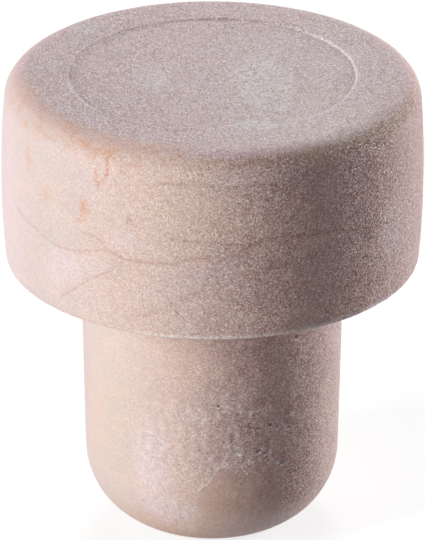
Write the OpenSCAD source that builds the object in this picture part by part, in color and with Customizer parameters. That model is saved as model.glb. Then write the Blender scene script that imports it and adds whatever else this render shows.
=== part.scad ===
// A T-shaped bottle stopper, moulded in one piece: a thick round head over a tapered plug.
// The origin is the centre of the plug's flat end, with +Z up through the head.

/* [Head] */
// Diameter of the head where its wall is widest
head_d = 31; // [26:0.1:45]
// Height of the head, from its underside to its top face
head_h = 14.3; // [8:0.1:30]
// How far the wall swells out between the rounded edges
wall_swell = 0.25; // [0.05:0.01:0.8]
// Radius of the head's upper edge
top_round = 1.9; // [0.3:0.1:3.5]
// Radius of the head's lower edge, which is nearly sharp
lip_round = 0.2; // [0.1:0.05:1.5]

/* [Sunken disc] */
// Diameter of the flat disc that the mould's insert leaves in the top face
disc_d = 20.7; // [8:0.1:24]
// Depth of the disc below the top face
disc_depth = 0.12; // [0.05:0.01:0.6]
// Width of the sloping step round the disc
disc_step = 0.14; // [0.05:0.01:0.5]

/* [Plug] */
// Diameter of the plug at the head's underside
plug_d = 19.5; // [15:0.1:22]
// Length of the plug, from the head's underside to its flat end
plug_l = 21.3; // [12:0.1:40]
// Draft of the plug's wall on each side, in degrees
plug_draft = 1; // [0.2:0.1:3]
// Radius of the plug's rounded end
end_round = 5.8; // [1:0.1:7]
// Radius of the fillet where the plug meets the head
root_fillet = 0.3; // [0.1:0.05:1.5]

/* [Hidden] */
STOPPER_COLOUR = [0.83, 0.74, 0.68];
// Facets round the stopper, and round the far larger circle that shapes the head's wall.
$fn = 144;
WALL_FN = 720;
// Each round reaches this far past its neighbours, so that it cuts them cleanly.
bite = 0.0005;

total_h = plug_l + head_h;

// The head's wall is one large arc, from the top of the lower edge to the foot of the upper one.
wall_low = plug_l + lip_round;
wall_high = total_h - top_round;
half_wall = (wall_high - wall_low) / 2;
wall_radius = (half_wall ^ 2 + wall_swell ^ 2) / (2 * wall_swell);
wall_centre = [head_d / 2 - wall_radius, (wall_low + wall_high) / 2];

// The plug's wall leans in towards its end, and this is the way that it faces.
plug_normal = [cos(plug_draft), -sin(plug_draft)];
function plug_radius(z) = plug_d / 2 - (plug_l - z) * tan(plug_draft);

// Middles of the four rounds, each placed so that it runs smoothly into both of its neighbours.
function edge_centre(radius, z) = [wall_centre.x + sqrt((wall_radius - radius) ^ 2 - half_wall ^ 2), z];
top_centre = edge_centre(top_round, wall_high);
lip_centre = edge_centre(lip_round, wall_low);
root_centre = [plug_radius(plug_l - root_fillet) + root_fillet / plug_normal.x, plug_l - root_fillet];
end_centre = [plug_radius(end_round) - end_round / plug_normal.x, end_round];

// Heights at which the head's wall runs into its two rounded edges.
function wall_end(centre, radius) = centre.y + radius * (centre.y - wall_centre.y) / (wall_radius - radius);
band_low = wall_end(lip_centre, lip_round);
band_high = wall_end(top_centre, top_round);

// Everything between two heights, from the axis out past the head.
module band(low, high) {
    translate([0, low]) square([head_d, high - low]);
}

// A round about its middle, cut off level at the heights of the faces that it joins.
module round_edge(centre, radius, low, high) {
    intersection() {
        translate(centre) circle(r = radius + bite);
        band(low, high);
    }
}

// The head's swelling wall, from the axis out.
module wall() {
    intersection() {
        translate(wall_centre) circle(r = wall_radius, $fn = WALL_FN);
        band(band_low, band_high);
    }
}

// The straight lines of half the section: end face, plug wall, underside, top face and sunken disc.
module straight_section() {
    polygon([
        [0, 0],
        [end_centre.x, 0],
        end_centre + end_round * plug_normal,
        root_centre - root_fillet * plug_normal,
        [root_centre.x, plug_l],
        [lip_centre.x, plug_l],
        lip_centre,
        top_centre,
        [top_centre.x, total_h],
        [disc_d / 2 + disc_step, total_h],
        [disc_d / 2, total_h - disc_depth],
        [0, total_h - disc_depth]
    ]);
}

// Half of the finished section.
module section() {
    difference() {
        union() {
            straight_section();
            wall();
            round_edge(end_centre, end_round, 0, plug_l);
            round_edge(lip_centre, lip_round, plug_l, total_h);
            round_edge(top_centre, top_round, plug_l, total_h);
        }
        round_edge(root_centre, root_fillet, 0, plug_l);
    }
}

// The whole stopper, turned from its section.
module stopper() {
    color(STOPPER_COLOUR) rotate_extrude() section();
}

stopper();
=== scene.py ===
"""A one-piece moulded bottle stopper with its frosted skin, and a plain studio round it."""

import math

import bpy
from bpy.props import FloatProperty, FloatVectorProperty, IntProperty, PointerProperty
from bpy.types import Operator, Panel, PropertyGroup
from mathutils import Matrix, Vector


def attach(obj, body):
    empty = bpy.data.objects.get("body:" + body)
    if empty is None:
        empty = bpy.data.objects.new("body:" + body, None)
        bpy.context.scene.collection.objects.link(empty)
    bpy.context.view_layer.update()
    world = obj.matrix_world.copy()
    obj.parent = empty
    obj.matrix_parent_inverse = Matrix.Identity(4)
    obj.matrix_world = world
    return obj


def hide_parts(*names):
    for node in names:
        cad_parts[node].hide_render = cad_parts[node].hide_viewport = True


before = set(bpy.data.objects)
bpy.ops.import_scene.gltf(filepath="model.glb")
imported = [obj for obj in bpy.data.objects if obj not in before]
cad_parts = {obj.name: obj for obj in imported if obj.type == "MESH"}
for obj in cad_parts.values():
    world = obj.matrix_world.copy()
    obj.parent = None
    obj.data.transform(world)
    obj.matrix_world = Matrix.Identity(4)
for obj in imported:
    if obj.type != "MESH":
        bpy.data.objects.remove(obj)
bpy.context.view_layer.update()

bl_info = {
    "name": "Moulded Bottle Stopper",
    "version": (1, 0, 0),
    "blender": (4, 5, 0),
    "location": "View3D > Sidebar > Stopper",
    "description": "Turns a T-shaped bottle stopper, gives it its frosted skin and sets a plain studio round it",
    "category": "Mesh",
}

MM = 0.001
# Sizes of the form in millimetres from which the marks and the wear of the skin are placed too.
PLUG_L = 21.3
HEAD_H = 14.3
DISC_D = 20.7
TOP_Z = PLUG_L + HEAD_H
DISC_R = DISC_D / 2


def length(name, description, default):
    """A size in metres that the sidebar shows in the scene's own unit."""
    return FloatProperty(name=name, description=description, default=default, unit="LENGTH", precision=5)


def colour(name, description, default):
    """A scene-linear colour with a swatch in the sidebar."""
    return FloatVectorProperty(
        name=name, description=description, default=default, subtype="COLOR", size=3, min=0, max=1
    )


class StopperSizes(PropertyGroup):
    """Sizes of the turned form, the same as those of the solid part."""

    head_d: length("Head width", "Diameter of the head where its wall is widest", 31.0 * MM)
    head_h: length("Head height", "From the head's underside to its top face", HEAD_H * MM)
    wall_swell: length("Wall swell", "How far the head's wall swells out between its edges", 0.25 * MM)
    top_round: length("Top round", "Radius of the head's upper edge", 1.9 * MM)
    lip_round: length("Lip round", "Radius of the head's lower edge", 0.2 * MM)
    disc_d: length("Disc width", "Diameter of the sunken disc in the top face", DISC_D * MM)
    disc_depth: length("Disc depth", "Depth of the sunken disc", 0.12 * MM)
    disc_step: length("Disc step", "Width of the slope round the sunken disc", 0.14 * MM)
    plug_d: length("Plug width", "Diameter of the plug at the head's underside", 19.5 * MM)
    plug_l: length("Plug length", "From the head's underside to the plug's flat end", PLUG_L * MM)
    plug_draft: FloatProperty(
        name="Plug draft",
        description="Lean of the plug's wall on each side",
        default=math.radians(1.0),
        subtype="ANGLE",
    )
    end_round: length("End round", "Radius of the plug's rounded end", 5.8 * MM)
    root_fillet: length("Root fillet", "Radius where the plug meets the head", 0.3 * MM)
    facets: IntProperty(
        name="Facets", description="Facets round the stopper, a multiple of four", default=384, min=32, max=512
    )


class StopperFinish(PropertyGroup):
    """Colours of the moulded skin, and of the light and shade painted over it."""

    tan: colour("Tan", "Main colour of the moulding, as it faces the front", (0.64, 0.474, 0.414))
    # Painted light: the left side faces the key lamp, and this paler, greyer tan stands in for its light.
    lit_pale: colour("Lit pale", "Paler, greyer tan of the left side", (0.537, 0.455, 0.437))
    # Painted shade: the right side turns away from the key lamp, and these darker tans stand in for that shade,
    # browner where it is deepest and rosier further round. The browner one also darkens a few patches on the plug.
    dusky_and_shade: colour("Dusky", "Browner tan of the right side", (0.39, 0.222, 0.213))
    rosy_shade: colour("Rosy", "Rosy tan of the far right side and the back", (0.53, 0.365, 0.365))
    mauve: colour("Mauve", "Greyer skin of the top face", (0.66, 0.447, 0.472))
    # Near-white grain; this colour is also painted as highlight on the step round the sunken disc, along the lip, on
    # the rims under the pits and along the groove and the ridge low on the plug.
    frost_and_highlight: colour("Frost", "Near-white colour of the frosted grain", (0.90, 0.84, 0.83))
    # Greyish pink patches; this colour is also the painted light from the floor on the lowest part of the plug's end.
    lilac_and_floor_light: colour("Lilac", "Greyish pink of the frosted patches", (0.69, 0.56, 0.575))
    ash: colour("Ash", "Pale grey of the worn patches", (0.72, 0.60, 0.59))
    # Painted sheen: a cool reflection of the light from behind, on smooth, rubbed spots of the top.
    painted_sheen: colour("Pearl", "Cool sheen of a rubbed patch on the top", (0.75, 0.70, 0.74))
    peach: colour("Peach", "Warm tan of the smooth patches", (0.70, 0.497, 0.405))
    # Partly painted light: the plug's end is warm tan, painted lighter to stand in for the light that the floor sends
    # up.
    apricot_floor_light: colour("Apricot", "Warm skin of the plug's rounded end", (0.74, 0.475, 0.35))
    cream: colour("Cream", "Pale tan of the plug's left side", (0.64, 0.505, 0.405))
    olive: colour("Olive", "Smooth brown patch low on the plug", (0.54, 0.355, 0.255))
    # Painted shade on the dark right side of the head and plug and on the top's left, and also the colour of real
    # stains and small dark marks.
    shadow: colour("Shadow", "Dark brown of the stained patches", (0.345, 0.20, 0.20))
    # Painted shade: lines where the foam met, darker than their own colour where they cross the shaded right side;
    # also the colour of other dark lines.
    seam: colour("Seam", "Darker lines of the shaded side", (0.25, 0.12, 0.085))
    umber: colour("Umber", "Dark brown of the top edge", (0.35, 0.24, 0.16))
    # Lines where the foam met in the mould; this colour is also the painted shade under the ridge low on the plug.
    weld: colour("Weld lines", "Thin lines where the foam met in the mould", (0.47, 0.28, 0.22))
    russet: colour("Russet", "Dark grains of the skin", (0.46, 0.235, 0.155))
    rust: colour("Rust", "Orange-brown streaks", (0.57, 0.30, 0.19))
    # Dark grains of the top; this colour is also the painted shade along the disc's step on the far left.
    plum_grain_and_shade: colour("Plum", "Dark grains of the top", (0.34, 0.24, 0.245))
    # Painted shade: the near-black inside of the pinholes and pits, where no light reaches.
    pinhole_shade: colour("Pinholes", "Inside of the pinholes", (0.05, 0.03, 0.025))


class StudioSettings(PropertyGroup):
    """Camera that frames the stopper."""

    target_h: length("Target height", "Height on the stopper's axis that the camera looks at", 19.743 * MM)
    distance: length("Distance", "From the camera to the target", 0.4)
    elevation: FloatProperty(
        name="Elevation",
        description="Camera's angle above the horizon",
        default=math.radians(25.158),
        subtype="ANGLE",
    )
    roll: FloatProperty(
        name="Roll", description="Turn of the camera about its view", default=math.radians(0.158), subtype="ANGLE"
    )
    lens: FloatProperty(name="Lens", description="Focal length in millimetres", default=360.67)
    shift: FloatProperty(name="Shift", description="Sideways shift of the camera's frame", default=0.0004)


class Value:
    """A socket of a material, so that shader maths reads as plain arithmetic."""

    def __init__(self, tree, socket):
        self.tree = tree
        self.socket = socket

    def make(self, kind, settings=None, inputs=None, out=0):
        """Adds a node of this type: its settings first, then the values or links of its sockets."""
        node = self.tree.nodes.new(kind)
        for name, setting in (settings or {}).items():
            if name == "points":
                curve = node.mapping.curves[0]
                curve.points[0].location, curve.points[-1].location = setting[0], setting[-1]
                for x, y in setting[1:-1]:
                    curve.points.new(x, y)
                node.mapping.update()
            else:
                setattr(node, name, setting)
        for name, value in (inputs or {}).items():
            socket = node.inputs[name]
            if isinstance(value, Value):
                self.tree.links.new(value.socket, socket)
            elif socket.type == "RGBA" and len(value) == 3:
                socket.default_value = (*value, 1)
            else:
                socket.default_value = value
        return Value(self.tree, node.outputs[out])

    def sum(self, operation, first, second=0.0):
        return self.make("ShaderNodeMath", {"operation": operation}, {0: first, 1: second})

    def __add__(self, other):
        return self.sum("ADD", self, other)

    def __radd__(self, other):
        return self.sum("ADD", other, self)

    def __sub__(self, other):
        return self.sum("SUBTRACT", self, other)

    def __rsub__(self, other):
        return self.sum("SUBTRACT", other, self)

    def __mul__(self, other):
        return self.sum("MULTIPLY", self, other)

    def __rmul__(self, other):
        return self.sum("MULTIPLY", other, self)

    def __truediv__(self, other):
        return self.sum("DIVIDE", self, other)

    def __rtruediv__(self, other):
        return self.sum("DIVIDE", other, self)

    def __abs__(self):
        return self.sum("ABSOLUTE", self)

    def strongest(self, *others):
        """The highest of this value and others."""
        best = self
        for other in others:
            best = self.sum("MAXIMUM", best, other)
        return best

    def rise(self, low, high):
        """From 0 at low to 1 at high, smoothly, and held outside them."""
        return self.make(
            "ShaderNodeMapRange",
            {"interpolation_type": "SMOOTHSTEP"},
            {"Value": self, "From Min": low, "From Max": high},
        )

    def band(self, low, high, soft):
        """1 between low and high, fading over soft on each side of both."""
        return self.rise(low - soft, low + soft) * (1.0 - self.rise(high - soft, high + soft))

    def noise(self, scale, detail, roughness):
        """Cloudy noise on a place vector, about 0 to 1, with this many lumps to the millimetre."""
        return self.make(
            "ShaderNodeTexNoise",
            None,
            {"Vector": self, "Scale": scale, "Detail": detail, "Roughness": roughness},
        )

    def cells(self, scale):
        """Random cells on a place vector: the distance from the middle of each, and a random colour for each."""
        distance = self.make("ShaderNodeTexVoronoi", {"feature": "F1"}, {"Vector": self, "Scale": scale})
        return distance, Value(self.tree, distance.socket.node.outputs["Color"])

    def parts(self):
        """The three numbers of a vector or colour."""
        split = self.make("ShaderNodeSeparateXYZ", None, {"Vector": self}).socket.node
        return [Value(self.tree, socket) for socket in split.outputs]

    def vector(self, operation, first, second=(0.0, 0.0, 0.0), scale=1.0):
        return self.make("ShaderNodeVectorMath", {"operation": operation}, {0: first, 1: second, 3: scale})

    def blot(self, middle, half, soft):
        """A soft-edged oval on a flat place vector, such as angle and height."""
        scale = (1 / half[0], 1 / half[1], 0.0)
        offset = (-middle[0] / half[0], -middle[1] / half[1], 0.0)
        near = self.make("ShaderNodeVectorMath", {"operation": "MULTIPLY_ADD"}, {0: self, 1: scale, 2: offset})
        far = self.make("ShaderNodeVectorMath", {"operation": "LENGTH"}, {0: near}, out=1)
        return 1.0 - far.rise(1.0 - soft, 1.0 + soft)

    def curve(self, points):
        """A smooth curve through points of this value and a height, and how far along it this value lies."""
        first, last = points[0][0], points[-1][0]
        low = min(z for _, z in points)
        tall = max(z for _, z in points) - low or 1.0
        along = (self - first) / (last - first)
        path = [((x - first) / (last - first), 0.1 + 0.8 * (z - low) / tall) for x, z in points]
        bent = self.make("ShaderNodeFloatCurve", {"points": path}, {"Value": along})
        return (bent - 0.1) * (tall / 0.8) + low, along

    def mix(self, first, second):
        """Colour first where this mask is 0 and second where it is 1."""
        return self.make(
            "ShaderNodeMix",
            {"data_type": "RGBA", "clamp_factor": True},
            {0: self, 6: first, 7: second},
            out=2,
        )


def new_material(name):
    """An empty node material: its tree, its shader node and the place on the piece in millimetres."""
    material = bpy.data.materials.new(name)
    material.use_nodes = True
    tree = material.node_tree
    shader = next(n for n in tree.nodes if n.type == "BSDF_PRINCIPLED")
    coords = Value(tree, None).make("ShaderNodeTexCoord", out="Object")
    place = coords.make("ShaderNodeMapping", None, {"Vector": coords, "Scale": (1 / MM,) * 3})
    return material, tree, shader, place


# Lines of the skin: the face that each is on, its colour, its half width in millimetres, its strength, and its points
# of angle in degrees (0 at the front, positive to the right) and height in millimetres.
LINES = (
    ("head", "weld", 0.15, 0.75, (
        (-38.5, 28.4), (-32.9, 28.4), (-28.9, 27.7), (-25.9, 27.4), (-23.0, 27.2), (-16.6, 27.3), (-9.8, 27.4),
        (-5.8, 27.8), (0.7, 28.0), (4.6, 28.0), (7.8, 28.5), (14.4, 29.1),
    )),
    # On the right this line is darker, as painted shade.
    ("head", "seam", 0.16, 0.62, (
        (2.0, 28.0), (4.6, 28.0), (7.8, 28.5), (14.4, 29.1), (21.3, 29.1), (26.5, 29.0), (35.9, 28.8), (44.7, 28.2),
        (62.0, 27.5),
    )),
    ("head", "weld", 0.12, 0.62, (
        (-68.0, 28.0), (-63.0, 27.5), (-56.3, 27.2), (-51.2, 26.9), (-45.9, 26.7), (-39.2, 26.9), (-31.0, 27.5),
        (-28.0, 27.7),
    )),
    ("head", "weld", 0.15, 0.62, (
        (-46.5, 22.4), (-45.6, 22.6), (-40.8, 23.6), (-36.1, 24.6), (-32.1, 25.4), (-28.0, 26.1), (-25.0, 26.8),
        (-22.5, 27.3),
    )),
    ("head", "seam", 0.20, 0.26, (
        (-22.5, 22.5), (-14.2, 23.6), (-5.9, 24.9), (1.5, 26.0), (11.3, 26.6), (22.2, 27.1), (34.0, 27.5),
    )),
    ("head", "seam", 0.15, 0.42, (
        (-14.0, 29.4), (-8.5, 29.2), (-0.1, 29.15), (7.2, 28.9), (14.0, 29.2),
    )),
    ("head", "seam", 0.10, 0.90, ((-9.9, 23.63), (-8.6, 23.3), (-7.3, 22.97))),
    ("head", "seam", 0.14, 0.50, (
        (-17.0, 32.9), (-12.0, 33.4), (-4.0, 33.5), (1.2, 33.4), (13.0, 33.35), (21.0, 33.0),
    )),
    ("head", "weld", 0.12, 0.70, (
        (84.0, 26.5), (100.0, 27.6), (118.0, 27.0), (137.0, 28.3), (158.0, 28.0), (172.0, 28.9),
    )),
    ("head", "weld", 0.12, 0.70, (
        (-172.0, 24.0), (-150.0, 25.1), (-128.0, 24.6), (-105.0, 26.2), (-84.0, 26.9),
    )),
    # Painted highlight along the groove under the lump on the plug.
    ("plug", "frost_and_highlight", 0.11, 0.60, (
        (2.7, 13.2), (6.6, 13.1), (9.7, 12.85), (13.2, 12.65), (18.7, 12.5), (22.4, 12.6), (26.2, 12.7),
    )),
    ("plug", "frost_and_highlight", 0.12, 0.50, ((7.6, 9.7), (10.0, 9.4), (13.0, 9.2))),
    # Painted shade under the ridge low on the plug.
    ("plug", "weld", 0.14, 0.40, (
        (-6.8, 5.75), (-4.7, 6.3), (-2.1, 6.6), (-0.8, 6.9), (1.4, 7.5), (3.2, 7.95), (5.4, 8.05), (8.1, 8.0),
    )),
    # Painted highlight along that ridge.
    ("plug", "frost_and_highlight", 0.10, 0.55, (
        (-7.2, 5.9), (-6.5, 6.15), (-4.7, 6.5), (-2.1, 6.8), (-0.8, 7.1), (1.4, 7.7), (3.2, 8.15), (5.4, 8.25),
        (8.1, 8.2), (9.4, 8.7),
    )),
)

# Marks of the skin: the face that each is on, its middle, its half sizes, how soft its edge is, its colour and its
# strength. Places are angle and height on the head and the plug, and x and y in millimetres on the top.
PATCHES = (
    ("top", (7.0, -2.0), (7.0, 12.0), 0.9, "lilac_and_floor_light", 0.50),
    ("top", (8.0, -7.0), (5.0, 6.0), 0.8, "ash", 0.40),
    ("top", (3.6, -1.0), (2.3, 5.0), 0.4, "ash", 0.55),
    ("top", (3.4, -1.4), (2.1, 4.6), 0.4, "frost_and_highlight", 0.75),
    ("top", (-4.5, -0.4), (1.3, 2.3), 0.4, "ash", 0.45),
    # Painted shade: the top darker towards its front left.
    ("top", (-6.0, -8.0), (8.0, 5.0), 0.8, "shadow", 0.16),
    ("top", (-4.5, -0.6), (1.2, 2.1), 0.4, "frost_and_highlight", 0.55),
    ("top", (-4.25, 3.8), (0.15, 1.7), 0.5, "shadow", 0.60),
    ("top", (1.3, 9.0), (0.35, 1.6), 0.6, "shadow", 0.40),
    # Painted sheen on a smooth, rubbed spot of the top.
    ("top", (-9.3, 8.2), (0.8, 1.2), 0.5, "painted_sheen", 0.60),
    ("top", (6.4, -9.3), (4.2, 3.2), 0.7, "ash", 0.45),
    # Painted sheen on smooth, rubbed spots of the top's front.
    ("top", (2.95, -9.2), (1.6, 0.9), 0.25, "painted_sheen", 1.00),
    ("top", (4.7, -5.9), (1.0, 0.7), 0.50, "painted_sheen", 0.60),
    # Painted shade: the top darker towards its left.
    ("top", (-10.5, -2.0), (5.0, 9.0), 0.8, "shadow", 0.20),
    ("top", (13.0, -3.5), (2.5, 6.0), 0.8, "shadow", 0.20),
    ("top", (0.7, 10.7), (0.35, 0.35), 0.5, "rust", 0.75),
    ("top", (-12.6, -2.1), (0.55, 0.65), 0.7, "shadow", 0.35),
    ("top", (-11.7, -1.0), (0.55, 0.65), 0.7, "shadow", 0.35),
    ("top", (-10.8, 0.1), (0.55, 0.65), 0.7, "shadow", 0.35),
    ("head", (-24.4, 28.7), (4.2, 0.75), 0.6, "lilac_and_floor_light", 0.60),
    ("head", (-39.0, 25.8), (8.0, 0.9), 0.6, "lilac_and_floor_light", 0.50),
    ("head", (-46.0, 24.9), (6.0, 1.2), 0.6, "lilac_and_floor_light", 0.40),
    ("head", (-80.0, 27.0), (17.0, 8.0), 0.6, "lilac_and_floor_light", 0.60),
    ("head", (-52.0, 32.0), (14.0, 2.4), 0.7, "cream", 0.25),
    ("head", (10.0, 33.8), (12.0, 0.6), 0.7, "lilac_and_floor_light", 0.50),
    # Painted shade on the head's right, from 22 to 83 degrees, here and below: it deepens the side facing away from
    # the key lamp and dims the edge lit by the rim lamp.
    ("head", (42.0, 27.0), (7.0, 5.0), 0.8, "shadow", 0.50),
    ("head", (42.0, 30.8), (8.5, 3.4), 0.7, "shadow", 0.75),
    ("head", (52.0, 32.3), (9.0, 2.2), 0.7, "shadow", 0.35),
    # Painted light: paler under the top edge on the lit left of the head.
    ("head", (-46.0, 32.8), (13.0, 1.6), 0.8, "lit_pale", 0.60),
    # Painted shade on the head's dark right side and its right edge.
    ("head", (22.0, 29.3), (14.0, 4.0), 0.8, "shadow", 0.25),
    ("head", (82.0, 29.0), (14.0, 8.0), 0.6, "shadow", 0.35),
    ("head", (83.0, 32.6), (13.0, 2.8), 0.7, "shadow", 0.30),
    ("head", (28.0, 33.2), (14.0, 1.7), 0.7, "shadow", 0.42),
    ("head", (22.0, 24.4), (9.0, 2.4), 0.7, "shadow", 0.45),
    ("head", (56.0, 31.5), (13.0, 4.0), 0.8, "shadow", 0.25),
    ("head", (56.0, 26.9), (6.0, 1.7), 0.8, "lilac_and_floor_light", 0.50),
    ("head", (-23.0, 30.2), (0.9, 0.28), 0.5, "shadow", 0.55),
    ("head", (-29.6, 34.1), (0.9, 1.1), 0.5, "rust", 1.20),
    ("head", (-32.6, 32.9), (1.1, 0.7), 0.5, "rust", 1.00),
    ("head", (-36.5, 30.5), (1.3, 0.60), 0.6, "rust", 1.00),
    ("head", (-37.0, 29.6), (0.9, 0.30), 0.6, "rust", 0.65),
    ("head", (-38.6, 35.0), (1.6, 0.40), 0.6, "rust", 0.91),
    ("head", (-42.8, 30.1), (1.1, 0.22), 0.6, "rust", 0.52),
    ("head", (-50.8, 30.3), (2.0, 0.7), 0.7, "rust", 0.36),
    ("head", (-59.8, 32.2), (1.4, 1.1), 0.7, "rust", 0.39),
    ("head", (-24.9, 34.0), (0.7, 0.35), 0.6, "rust", 0.59),
    ("plug", (-28.5, 8.0), (9.0, 3.4), 0.6, "lilac_and_floor_light", 0.85),
    ("plug", (-17.0, 3.8), (14.0, 1.3), 0.6, "lilac_and_floor_light", 0.80),
    ("plug", (-27.0, 7.6), (8.0, 2.6), 0.8, "frost_and_highlight", 0.22),
    ("plug", (-17.0, 3.9), (12.0, 1.1), 0.8, "frost_and_highlight", 0.25),
    ("plug", (11.3, 13.6), (9.5, 1.2), 0.4, "lilac_and_floor_light", 0.45),
    ("plug", (-50.0, 11.0), (16.0, 8.0), 0.7, "cream", 0.55),
    ("plug", (-16.0, 17.2), (6.0, 1.4), 0.7, "olive", 0.25),
    ("plug", (-66.0, 10.0), (8.0, 3.5), 0.7, "peach", 0.40),
    # Painted shade on the plug's dark side, from 17 to 38 degrees.
    ("plug", (27.0, 16.2), (10.0, 3.6), 0.7, "shadow", 0.35),
    ("plug", (29.0, 10.5), (9.0, 3.0), 0.7, "shadow", 0.25),
    ("plug", (23.0, 7.3), (6.0, 1.2), 0.6, "shadow", 0.25),
    ("plug", (4.5, 5.3), (6.0, 1.4), 0.7, "olive", 0.50),
    ("plug", (13.5, 8.2), (3.8, 1.0), 0.4, "cream", 0.35),
    # Painted highlight on the short upright end of the ridge low on the plug.
    ("plug", (-6.6, 4.9), (0.4, 1.0), 0.5, "frost_and_highlight", 0.80),
    ("plug", (-21.0, 8.5), (6.0, 1.5), 0.8, "dusky_and_shade", 0.12),
    # Painted light from the floor on the plug's rounded end, over its warm tan.
    ("plug", (28.0, 1.5), (34.0, 2.0), 0.7, "apricot_floor_light", 0.95),
    ("plug", (62.0, 11.0), (5.0, 1.5), 0.7, "cream", 0.30),
    # Painted light from the floor along the front of the plug's end.
    ("plug", (-4.0, 1.3), (52.0, 2.0), 0.7, "apricot_floor_light", 0.60),
    ("plug", (10.0, 12.5), (20.0, 8.0), 0.8, "dusky_and_shade", 0.35),
    # Painted light from the floor on the lowest part of the plug's end, on the right.
    ("plug", (22.0, 1.8), (28.0, 2.2), 0.6, "lilac_and_floor_light", 1.00),
)

# Pinholes and pits of the plug: angle and height of each, its half width in millimetres, and how dark its painted
# shade is.
PITS = (
    (39.5, 17.9, 0.15, 1.00), (2.8, 13.2, 0.10, 1.00), (26.7, 11.2, 0.11, 0.90), (10.7, 9.4, 0.12, 0.40),
    (12.1, 9.3, 0.12, 0.40), (20.8, 9.2, 0.14, 0.60), (21.8, 9.25, 0.12, 0.50), (24.2, 8.95, 0.13, 0.50),
    (25.2, 8.55, 0.13, 0.55), (26.2, 8.3, 0.13, 0.50), (30.8, 8.1, 0.12, 0.40), (33.4, 7.8, 0.12, 0.40),
    (17.9, 11.2, 0.12, 0.40), (21.1, 11.1, 0.12, 0.45), (30.4, 10.9, 0.12, 0.40), (36.3, 10.6, 0.12, 0.35),
)
# Pits at least this dark are pinholes, too fine for the mesh.
PINHOLE = 0.8
# Degrees to a millimetre round the plug.
PLUG_TURN = 6.0

# Upper edge of the smooth patch low on the plug, as points of angle and height.
BROW = (
    (-8.0, 6.0), (-6.5, 6.1), (-4.7, 6.5), (-2.1, 6.8), (-0.8, 7.1), (1.4, 7.7), (3.2, 8.1), (8.1, 8.1),
    (10.5, 7.3), (15.5, 7.1), (18.0, 8.3), (26.0, 8.0), (30.0, 7.0), (38.0, 5.0),
)


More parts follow.
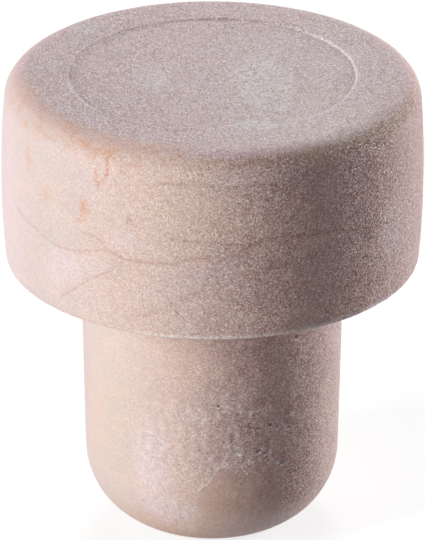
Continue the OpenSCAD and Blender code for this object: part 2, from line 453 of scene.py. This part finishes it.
class Skin:
    """The stopper's skin: the places, masks and noises on it, and the colour that each step paints over it."""

    def __init__(self, finish):
        self.finish = finish
        self.material, self.tree, self.shader, self.place = new_material("frosted_cork_foam")
        self.x, self.y, self.z = self.place.parts()
        self.turn = self.place.sum("ARCTAN2", self.x, 0.0 - self.y) * math.degrees(1)
        self.radius = self.place.sum("SQRT", self.x * self.x + self.y * self.y)

        # Noises, from slow clouds to fine grit, and two that make edges uneven.
        self.cloud = self.place.noise(0.16, 3.0, 0.55)
        self.mottle = self.place.noise(0.75, 3.0, 0.6)
        self.crumb = self.place.noise(2.5, 2.0, 0.6)
        self.grit = self.place.noise(13.0, 1.0, 0.5)
        self.crumbly = self.crumb.rise(0.3, 0.6) * 0.6 + 0.4
        self.wander = (self.place.noise(0.9, 3.0, 0.55) - 0.5) * 1.6
        self.wiggle = (self.place.noise(3.0, 2.0, 0.5) - 0.5) * 0.3

        # Masks of the top, the head's wall and the plug, each with a place vector that gives its marks uneven edges.
        self.unrolled = self.flat_place(self.turn, self.z)
        ragged = self.flat_place(self.wander * 4.0 + self.wiggle * 2.0, self.wander * 0.5 + self.wiggle)
        self.around = self.place.vector("ADD", self.unrolled, ragged)
        on_top = self.place.vector("ADD", self.place, self.place.vector("MULTIPLY", ragged, (0.25, 1.0, 0.0)))
        over_seat = self.z.rise(PLUG_L - 0.1, PLUG_L + 0.1)
        self.top = self.z.rise(TOP_Z - 0.6, TOP_Z - 0.18)
        self.head = over_seat * (1.0 - self.top)
        self.plug = 1.0 - over_seat
        self.faces = {"top": (on_top, self.top), "head": (self.around, self.head), "plug": (self.around, self.plug)}
        # The colour starts from the left side's pale tan, which is painted light.
        self.shade = finish.lit_pale

    def flat_place(self, across, up):
        """A place vector from two numbers."""
        return self.place.make("ShaderNodeCombineXYZ", None, {"X": across, "Y": up})

    def paint(self, mask, tint):
        """Paints a colour of the finish over the skin where the mask is 1."""
        self.shade = mask.mix(self.shade, getattr(self.finish, tint))

    def paint_light_and_colour(self):
        """Painted light and shade round the piece: paler on the left that faces the key lamp, browner and darker on
        the right that faces away from it, rosier further round and plain tan at the back; then cloudy colour changes
        and the top's greyer skin.
        """
        light_turn = self.turn + (self.cloud - 0.5) * 30.0
        # Painted light and shade by angle: pale on the left, darker on the right, plain tan again at the back.
        self.paint(light_turn.rise(-52.0, -16.0), "tan")
        self.paint(light_turn.rise(-15.0, 20.0), "dusky_and_shade")
        self.paint(light_turn.rise(38.0, 62.0), "rosy_shade")
        self.paint(abs(self.turn).rise(85.0, 135.0), "tan")
        self.paint(self.mottle.rise(0.35, 0.75) * 0.5, "peach")
        self.paint(self.cloud.rise(0.45, 0.8) * 0.35, "lilac_and_floor_light")
        self.paint(self.top * 0.85, "mauve")

    def paint_edges(self):
        """The top's rounded edge, rusty on the left of the front and dark on the right, and a painted highlight along
        the front of the lip, broken up into crumbs.
        """
        uneven_r, uneven_z = self.radius + self.wander * 0.5, self.z + self.wander
        self.rim = uneven_r.rise(12.5, 13.7) * self.z.rise(TOP_Z - 0.9, TOP_Z - 0.4)
        self.rim = self.rim * self.turn.band(-84.0, -10.0, 10.0)
        self.paint(self.rim * 0.55, "peach")
        rusty = uneven_z.band(TOP_Z - 1.3, TOP_Z + 0.1, 0.35) * uneven_r.rise(12.6, 13.8)
        rusty = rusty * self.mottle.rise(0.35, 0.7) * self.turn.band(-82.0, -6.0, 12.0)
        self.paint(rusty * 0.70, "rust")
        darkened = uneven_z.band(TOP_Z - 1.3, TOP_Z - 0.2, 0.35)
        darkened = darkened * self.mottle.rise(0.25, 0.6) * self.turn.band(20.0, 80.0, 12.0)
        self.paint(darkened * 0.95, "umber")
        # Painted highlight: a pale, crumbly line along the front of the head's lower edge.
        lip = (self.z + self.wiggle).band(PLUG_L - 0.1, PLUG_L + 0.35, 0.15) * self.crumb.rise(0.25, 0.55)
        self.paint(lip * self.turn.band(-22.0, 62.0, 12.0) * 0.70, "frost_and_highlight")

    def paint_ring(self):
        """The step round the sunken disc: painted highlight on its right and near-left arcs, and painted shade along
        its base and inside it on the far left.
        """
        ring = (1.0 - abs(self.radius - (DISC_R + 0.13)).rise(0.05, 0.28)) * self.top
        # Painted highlight: pale arcs of the step where its edge catches the light.
        self.paint(ring * abs(self.turn - 82.0).band(-1.0, 60.0, 10.0) * 0.85, "frost_and_highlight")
        self.paint(ring * self.turn.band(-82.0, -50.0, 8.0) * 0.90, "frost_and_highlight")
        # Painted shade: a dark line along the base of the step and a dark band inside it on the far left.
        far_left = (self.y * 0.45 - self.x * 0.9) / self.radius
        foot_shade = 1.0 - abs(self.radius + self.wiggle * 0.3 - (DISC_R - 0.02)).rise(0.04, 0.17)
        foot_shade = foot_shade * far_left.rise(0.15, 0.6) * (self.crumb.rise(0.2, 0.5) * 0.6 + 0.4) * 0.65
        hollow_shade = self.radius.band(DISC_R - 0.6, DISC_R - 0.05, 0.25) * far_left.rise(0.5, 0.9) * 0.35
        self.foot_shade = foot_shade.strongest(hollow_shade) * self.top
        self.paint(self.foot_shade, "plum_grain_and_shade")

    def paint_patches(self):
        """Patches and streaks, with crumbling edges; some of them are painted shade, light and sheen, as their
        comments say.
        """
        flakes = self.crumb.rise(0.42, 0.62)
        for face, middle, half, soft, tint, strength in PATCHES:
            at, mask = self.faces[face]
            crumbs = flakes if tint == "frost_and_highlight" else self.crumbly
            self.paint(at.blot(middle, half, soft) * mask * crumbs * strength, tint)

    def paint_smooth_patch(self):
        """A smooth patch low on the plug, with a sharp left edge."""
        brow, _ = self.turn.curve(BROW)
        over_brow = self.z + self.wiggle * 1.6 + (self.crumb - 0.5) * 0.5 - brow
        left_edge = (self.turn + self.wiggle * 6.0 + self.crumb * 2.0).rise(-7.6, -4.6)
        right_edge = (self.turn + self.wander * 6.0).rise(18.0, 38.0)
        self.smooth = (1.0 - over_brow.rise(-0.25, 0.2)) * left_edge * (1.0 - right_edge) * self.plug
        self.paint(self.smooth * 0.30, "olive")

    def paint_pebbles(self):
        """Pebbles with pale rims, and a few dark specks among them, on the front of the plug."""
        pebbled = self.around.blot((2.0, 10.2), (34.0, 3.4), 0.6) * self.plug * self.mottle.rise(0.3, 0.55)
        pebble, pick = self.place.cells(3.2)
        self.paint(pebble.rise(0.35, 0.6) * pebbled * self.crumb.rise(0.4, 0.65) * 0.4, "frost_and_highlight")
        # The dark specks take the pinholes' painted shade.
        speck = (1.0 - pebble.rise(0.08, 0.2)) * pick.parts()[0].rise(0.8, 0.84)
        self.paint(speck * pebbled * 0.6, "pinhole_shade")

    def paint_pits(self):
        """Pits of the plug, painted dark inside as shade, each with a painted highlight as a pale rim under it."""
        pits, rims = [], []
        for angle, at, size, dark in PITS:
            wide = size * PLUG_TURN
            pits.append(self.unrolled.blot((angle, at), (wide, size), 0.5) * dark)
            rims.append(self.unrolled.blot((angle, at - size * 1.5), (wide * 1.3, size * 0.7), 0.6) * 0.8)
        self.pits = pits[0].strongest(*pits[1:]) * self.plug
        self.paint(rims[0].strongest(*rims[1:]) * self.plug, "frost_and_highlight")
        self.paint(self.pits, "pinhole_shade")

    def paint_lines(self):
        """Weld lines and creases, broken up by the skin."""
        line_z = self.z + self.wiggle + (self.crumb - 0.5) * 0.2
        broken = self.mottle.rise(0.3, 0.55) * 0.5 + 0.5
        lines = []
        for face, tint, width, strength, points in LINES:
            bent, along = self.turn.curve(points)
            mark = (1.0 - abs(line_z - bent).rise(0.0, width * 1.5)) * along.band(0.04, 0.96, 0.05)
            lines.append(mark * self.faces[face][1] * self.crumbly * broken * strength)
            self.paint(lines[-1], tint)
        self.lines = lines[0].strongest(*lines[1:])

    def sandiness(self):
        """How sandy the skin is: most on the top, and least on the left, where fainter grain is painted light, as if
        the key lamp washed it out, a little more so on the plug.
        """
        plainer_plug_left = self.plug * (1.0 - self.turn.rise(0.0, 30.0)) * 0.2
        sandy = (self.turn.rise(-85.0, 15.0) * 0.8 + 0.2) * (1.0 - plainer_plug_left)
        sandy = sandy.strongest(abs(self.turn).rise(110.0, 150.0)) * (1.0 - self.smooth * 0.6)
        gritty_top = self.z.rise(TOP_Z - 0.4, TOP_Z - 0.15) * (2.1 - self.radius.rise(13.0, 14.2))
        return sandy.strongest(gritty_top * (1.0 - self.rim * 0.4))

    def paint_grain(self, sandy):
        """Close-set grains, some of them pale and some dark."""
        chance, other, _ = self.place.cells(12.0)[1].parts()
        dark = other.rise(0.5, 1.0) + (1.0 - self.grit.rise(0.25, 0.5)) * 0.4
        speck = (self.top * (1.0 - self.rim)).mix(self.finish.russet, self.finish.plum_grain_and_shade)
        self.shade = (dark * sandy * (1.0 - self.top * 0.25) * 0.50).mix(self.shade, speck)
        pale = chance.rise(0.5, 1.0) + self.grit.rise(0.5, 0.75) * 0.4
        pale = pale * (1.0 - self.turn.band(42.0, 110.0, 10.0) * self.head * 0.22)
        pale = pale * (1.0 - self.pits) * (1.0 - self.foot_shade * 0.7) * (1.0 - self.lines * 0.7)
        self.paint(pale * sandy * 0.52, "frost_and_highlight")

    def crust(self, sandy):
        """The normal of a crust of fine tilted grains over low lumps."""
        normal = self.place.make("ShaderNodeNewGeometry", out="Normal")
        tilt = self.place.vector("SUBTRACT", self.place.cells(14.0)[1], (0.5, 0.5, 0.5))
        rough_side = self.turn.band(30.0, 62.0, 10.0) * 0.40 + self.turn.band(62.0, 130.0, 10.0) * 0.22
        rough_side = rough_side * (1.0 - self.top) * (1.0 - self.plug * 0.8)
        tilt = self.place.vector("SCALE", tilt, scale=sandy * (rough_side + 0.52))
        tilted = self.place.vector("NORMALIZE", self.place.vector("ADD", normal, tilt))
        height = self.grit * 0.02 * sandy + self.place.noise(2.2, 2.0, 0.5) * 0.012
        return self.place.make(
            "ShaderNodeBump", None, {"Strength": 1.0, "Distance": MM, "Height": height, "Normal": tilted}
        )


def skin_material(finish):
    """Frosted, cork-coloured foam: uneven tan under a fine sandy grain, with lines where the foam met, streaks and
    patches, and with light and shade painted over it.
    """
    skin = Skin(finish)
    skin.paint_light_and_colour()
    skin.paint_edges()
    skin.paint_ring()
    skin.paint_patches()
    skin.paint_smooth_patch()
    skin.paint_pebbles()
    skin.paint_pits()
    skin.paint_lines()
    sandy = skin.sandiness()
    skin.paint_grain(sandy)
    skin.tree.links.new(skin.shade.socket, skin.shader.inputs["Base Color"])
    skin.tree.links.new(skin.crust(sandy).socket, skin.shader.inputs["Normal"])
    skin.shader.inputs["Roughness"].default_value = 0.65
    skin.shader.inputs["Specular IOR Level"].default_value = 0.35
    return skin.material


def arc(centre, radius, first, last, count):
    """Points along an arc, without its first one. Angles are in degrees."""
    turns = [math.radians(first + (last - first) * i / count) for i in range(1, count + 1)]
    return [(centre[0] + radius * math.cos(t), centre[1] + radius * math.sin(t)) for t in turns]


def line(first, last, count):
    """Points along a straight line, without its first one."""
    return [tuple(a + (b - a) * i / count for a, b in zip(first, last)) for i in range(1, count + 1)]


def outline(s):
    """Half the section as (radius, height), from the middle of the plug's end to the sunken disc's edge."""
    total = s.plug_l + s.head_h
    low, high = s.plug_l + s.lip_round, total - s.top_round
    half = (high - low) / 2
    wall_r = (half**2 + s.wall_swell**2) / (2 * s.wall_swell)
    wall = (s.head_d / 2 - wall_r, (low + high) / 2)
    lean = math.degrees(s.plug_draft)
    cos, sin, tan = math.cos(s.plug_draft), math.sin(s.plug_draft), math.tan(s.plug_draft)

    def plug(z):
        return s.plug_d / 2 - (s.plug_l - z) * tan

    def edge(radius, z):
        return wall[0] + math.sqrt((wall_r - radius) ** 2 - half**2), z

    top, lip = edge(s.top_round, high), edge(s.lip_round, low)
    end = (plug(s.end_round) - s.end_round / cos, s.end_round)
    root = (plug(s.plug_l - s.root_fillet) + s.root_fillet / cos, s.plug_l - s.root_fillet)
    top_turn = math.degrees(math.atan2(top[1] - wall[1], top[0] - wall[0]))
    lip_turn = math.degrees(math.atan2(lip[1] - wall[1], lip[0] - wall[0]))
    points = [(0.0, 0.0)]
    points += line(points[-1], (end[0], 0.0), 10)
    points += arc(end, s.end_round, -90, -lean, 36)
    points += line(points[-1], (root[0] - s.root_fillet * cos, root[1] + s.root_fillet * sin), 64)
    points += arc(root, s.root_fillet, 180 - lean, 90, 5)
    points += line(points[-1], (lip[0], s.plug_l), 14)
    points += arc(lip, s.lip_round, -90, lip_turn, 5)
    points += arc(wall, wall_r, lip_turn, top_turn, 54)
    points += arc(top, s.top_round, top_turn, 90, 14)
    points += line(points[-1], (s.disc_d / 2 + s.disc_step, total), 12)
    for i in (1, 2, 3, 4):
        drop = (1 - math.cos(math.pi * i / 4)) / 2
        points.append((s.disc_d / 2 + s.disc_step * (1 - i / 4), total - s.disc_depth * drop))
    return points


def press(body, name, kind, size, depth, weight):
    """Presses an uneven skin into the piece: a noise of this kind and size, up to depth, where weight lets it."""
    group = body.vertex_groups.new(name=name)
    for vertex in body.data.vertices:
        x, y, z = vertex.co / MM
        amount = weight(math.degrees(math.atan2(x, -y)), math.hypot(x, y), z)
        if amount > 0:
            group.add([vertex.index], min(amount, 1.0), "REPLACE")
    bpy.ops.object.modifier_add(type="DISPLACE")
    modifier = body.modifiers[-1]
    modifier.vertex_group = name
    if kind is None:
        modifier.mid_level, modifier.strength = 0.0, -depth
    else:
        texture = bpy.data.textures.new(name, kind)
        texture.noise_scale = size
        modifier.texture, modifier.texture_coords = texture, "LOCAL"
        modifier.mid_level, modifier.strength = 1.0, depth
    bpy.ops.object.modifier_apply(modifier=modifier.name)
    body.vertex_groups.clear()


def groove(body, name, depth, weight):
    """Presses the piece in evenly, up to depth, where weight lets it."""
    press(body, name, None, 0.0, depth, weight)


def fade(value, low, high):
    """From 0 at low to 1 at high, smoothly, and held outside them."""
    share = min(max((value - low) / (high - low), 0.0), 1.0)
    return share * share * (3 - 2 * share)


def skin_weight(turn, radius, z):
    """Everywhere but the flat end that the stopper stands on."""
    return fade(z, 0.1, 1.5)


def pebble_weight(turn, radius, z):
    """The pebbled part of the plug's front."""
    return fade(turn, -36, -20) * fade(turn, 52, 34) * fade(z, 6.5, 8.5) * fade(z, 15, 13)


def step_weight(turn, radius, z):
    """The step round the sunken disc, most of all on the right."""
    side = math.sin(math.radians(turn))
    step = fade(abs(radius - (DISC_R + 0.07)), 0.4, 0.1) * fade(z, TOP_Z - 0.4, TOP_Z - 0.2)
    return step * (0.3 + 0.7 * fade(side, -0.3, 0.2))


def worn_weight(turn, radius, z):
    """The land outside the step, worn to a slope on the left."""
    side = math.sin(math.radians(turn))
    land = fade(radius, DISC_R, DISC_R + 0.14) * fade(radius, DISC_R + 1.45, DISC_R + 0.15)
    return land * fade(z, TOP_Z - 0.4, TOP_Z - 0.2) * fade(side, 0.0, -0.3)


def lip_weight(turn, radius, z):
    """The head's lower edge."""
    return fade(abs(z - (PLUG_L + 0.1)), 0.35, 0.1) * fade(radius, 14.9, 15.2)


def lump_weight(turn, radius, z):
    """The curved groove under the lump on the plug's front."""
    groove_z = 12.5 + 0.003 * (turn - 18) ** 2
    return fade(abs(z - groove_z), 0.45, 0.05) * fade(turn, -1, 5) * fade(turn, 29, 22) * fade(z, 20, 18)


def pit_weight(turn, radius, z):
    """The pits of the plug that are wide enough for the mesh, all of them on the right of its front."""
    if abs(turn - 20) > 30 or not 6 < z < 19:
        return 0.0
    reach = [math.hypot((turn - angle) / PLUG_TURN, z - at) for angle, at, _, dark in PITS if dark < PINHOLE]
    return fade(min(reach), 0.36, 0.05) * 0.5


class STOPPER_OT_body(Operator):
    """Turns the stopper from its half section and gives it its skin"""

    bl_idname = "stopper.body"
    bl_label = "Stopper"

    def execute(self, context):
        sizes = context.scene.stopper_sizes
        points = [Vector((r, 0, z)) for r, z in outline(sizes)]
        bpy.ops.object.select_all(action="DESELECT")
        bpy.ops.mesh.primitive_circle_add(vertices=3, radius=MM, location=(0, 0, 0))
        body = context.object
        body.name = body.data.name = "stopper_body"
        bpy.ops.object.mode_set(mode="EDIT")
        bpy.ops.mesh.select_mode(type="VERT")
        bpy.ops.mesh.select_all(action="SELECT")
        bpy.ops.mesh.merge(type="CENTER")
        bpy.ops.transform.translate(value=points[0])
        for before, after in zip(points, points[1:]):
            bpy.ops.mesh.extrude_region_move(TRANSFORM_OT_translate={"value": after - before})
        bpy.ops.mesh.select_all(action="SELECT")
        bpy.ops.mesh.spin(steps=sizes.facets, angle=2 * math.pi, center=(0, 0, 0), axis=(0, 0, 1))
        bpy.ops.mesh.select_all(action="SELECT")
        bpy.ops.mesh.remove_doubles(threshold=1e-7)
        bpy.ops.mesh.select_all(action="DESELECT")
        bpy.ops.mesh.select_non_manifold(extend=False, use_wire=False, use_multi_face=False, use_non_contiguous=False)
        bpy.ops.mesh.fill_grid(span=sizes.facets // 4)
        bpy.ops.mesh.select_all(action="SELECT")
        bpy.ops.mesh.normals_make_consistent(inside=False)
        bpy.ops.object.mode_set(mode="OBJECT")
        press(body, "slow_waves", "CLOUDS", 5.0 * MM, 0.04 * MM, skin_weight)
        press(body, "fine_skin", "CLOUDS", 0.45 * MM, 0.02 * MM, skin_weight)
        press(body, "pebbles", "CLOUDS", 0.5 * MM, 0.12 * MM, pebble_weight)
        groove(body, "lump_groove", 0.12 * MM, lump_weight)
        groove(body, "pits", 0.12 * MM, pit_weight)
        groove(body, "worn_step", 0.09 * MM, worn_weight)
        press(body, "ragged_step", "CLOUDS", 0.9 * MM, 0.06 * MM, step_weight)
        press(body, "worn_lip", "CLOUDS", 0.7 * MM, 0.05 * MM, lip_weight)
        bpy.ops.object.shade_smooth()
        body.data.materials.clear()
        body.data.materials.append(skin_material(context.scene.stopper_finish))
        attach(body, "root")
        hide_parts("stopper")
        return {"FINISHED"}


# Lamps: name, azimuth and elevation in degrees, distance, width and height in metres, and watts.
LAMPS = (
    ("key", -60, 15, 0.7, 0.18, 0.42, 5.95),
    ("rim", 120, 10, 0.7, 0.20, 0.30, 4.8),
    ("back", 180, 43, 0.7, 0.18, 0.50, 2.3),
)
BLACK, WHITE = (0.0, 0.0, 0.0), (1.0, 1.0, 1.0)
# The floor's grey as the stopper meets it and as the camera does, and how much it glows to the camera.
FLOOR_GREY, FLOOR_SEEN_GREY = (0.56, 0.56, 0.56), (0.3, 0.3, 0.3)
FLOOR_GLOW = 0.78


def add_lamp(name, azimuth, elevation, distance, width, height, watts):
    """A soft white box that faces the middle of the stopper. Azimuth 0 is the camera's side."""
    a, e = math.radians(azimuth), math.radians(elevation)
    towards = Vector((math.sin(a) * math.cos(e), -math.cos(a) * math.cos(e), math.sin(e)))
    bpy.ops.object.light_add(type="AREA", location=towards * distance + Vector((0, 0, 20 * MM)))
    lamp = bpy.context.object
    lamp.name = lamp.data.name = name
    lamp.rotation_euler = towards.to_track_quat("Z", "Y").to_euler()
    lamp.data.shape = "RECTANGLE"
    lamp.data.size, lamp.data.size_y = width, height
    lamp.data.energy = watts


def seen_rays(tree):
    """The camera's rays, and those together with the rays that shiny and clear surfaces send on."""
    camera = Value(tree, None).make("ShaderNodeLightPath", out="Is Camera Ray")
    rays = camera.socket.node.outputs
    return camera, camera + Value(tree, rays["Is Glossy Ray"]) + Value(tree, rays["Is Transmission Ray"])


def add_floor():
    """A plain pale floor that the camera sees as near white, with the stopper's cast shade on it."""
    bpy.ops.mesh.primitive_plane_add(size=3.0, location=(0, 0, 0))
    floor = bpy.context.object
    floor.name = floor.data.name = "floor"
    material, tree, shader, _ = new_material("pale_floor")
    camera, seen = seen_rays(tree)
    tree.links.new(camera.mix(FLOOR_GREY, FLOOR_SEEN_GREY).socket, shader.inputs["Base Color"])
    tree.links.new(seen.mix(BLACK, WHITE).socket, shader.inputs["Emission Color"])
    shader.inputs["Emission Strength"].default_value = FLOOR_GLOW
    shader.inputs["Roughness"].default_value = 0.9
    shader.inputs["Specular IOR Level"].default_value = 0.0
    floor.data.materials.append(material)


def add_surroundings(scene):
    """White surroundings that are seen but light nothing."""
    world = bpy.data.worlds.new("studio_surroundings")
    world.use_nodes = True
    scene.world = world
    sky = next(n for n in world.node_tree.nodes if n.type == "BACKGROUND")
    sky.inputs["Color"].default_value = (*WHITE, 1)
    _, seen = seen_rays(world.node_tree)
    world.node_tree.links.new(seen.socket, sky.inputs["Strength"])


def add_camera(scene, settings):
    """The camera, at the angle and distance of the settings."""
    e = settings.elevation
    back = Vector((0, -math.cos(e), math.sin(e)))
    bpy.ops.object.camera_add(location=Vector((0, 0, settings.target_h)) + back * settings.distance)
    camera = bpy.context.object
    camera.name = camera.data.name = "camera"
    turn = back.to_track_quat("Z", "Y").to_matrix() @ Matrix.Rotation(settings.roll, 3, "Z")
    camera.rotation_euler = turn.to_euler()
    camera.data.lens = settings.lens
    camera.data.sensor_width = 36
    camera.data.shift_x = settings.shift
    camera.data.clip_start, camera.data.clip_end = 0.01, 10
    scene.camera = camera


class STOPPER_OT_stage(Operator):
    """Sets the floor, the lamps, the pale surroundings and the camera"""

    bl_idname = "stopper.stage"
    bl_label = "Studio"

    def execute(self, context):
        scene = context.scene
        scene.view_settings.view_transform = "Standard"
        bpy.ops.object.select_all(action="DESELECT")
        add_floor()
        for lamp in LAMPS:
            add_lamp(*lamp)
        add_surroundings(scene)
        add_camera(scene, scene.stopper_studio)
        return {"FINISHED"}


class STOPPER_PT_panel(Panel):
    """Sizes, colours and steps of the stopper"""

    bl_idname = "STOPPER_PT_panel"
    bl_label = "Bottle Stopper"
    bl_space_type = "VIEW_3D"
    bl_region_type = "UI"
    bl_category = "Stopper"

    def draw(self, context):
        for group in (context.scene.stopper_sizes, context.scene.stopper_finish, context.scene.stopper_studio):
            column = self.layout.column(align=True)
            for name in group.__annotations__:
                column.prop(group, name)
        self.layout.operator(STOPPER_OT_body.bl_idname)
        self.layout.operator(STOPPER_OT_stage.bl_idname)


CLASSES = (StopperSizes, StopperFinish, StudioSettings, STOPPER_OT_body, STOPPER_OT_stage, STOPPER_PT_panel)


def register():
    for item in CLASSES:
        bpy.utils.register_class(item)
    bpy.types.Scene.stopper_sizes = PointerProperty(type=StopperSizes)
    bpy.types.Scene.stopper_finish = PointerProperty(type=StopperFinish)
    bpy.types.Scene.stopper_studio = PointerProperty(type=StudioSettings)


def unregister():
    del bpy.types.Scene.stopper_sizes
    del bpy.types.Scene.stopper_finish
    del bpy.types.Scene.stopper_studio
    for item in reversed(CLASSES):
        bpy.utils.unregister_class(item)


def main():
    register()
    bpy.ops.stopper.body()
    bpy.ops.stopper.stage()


if __name__ == "__main__":
    main()
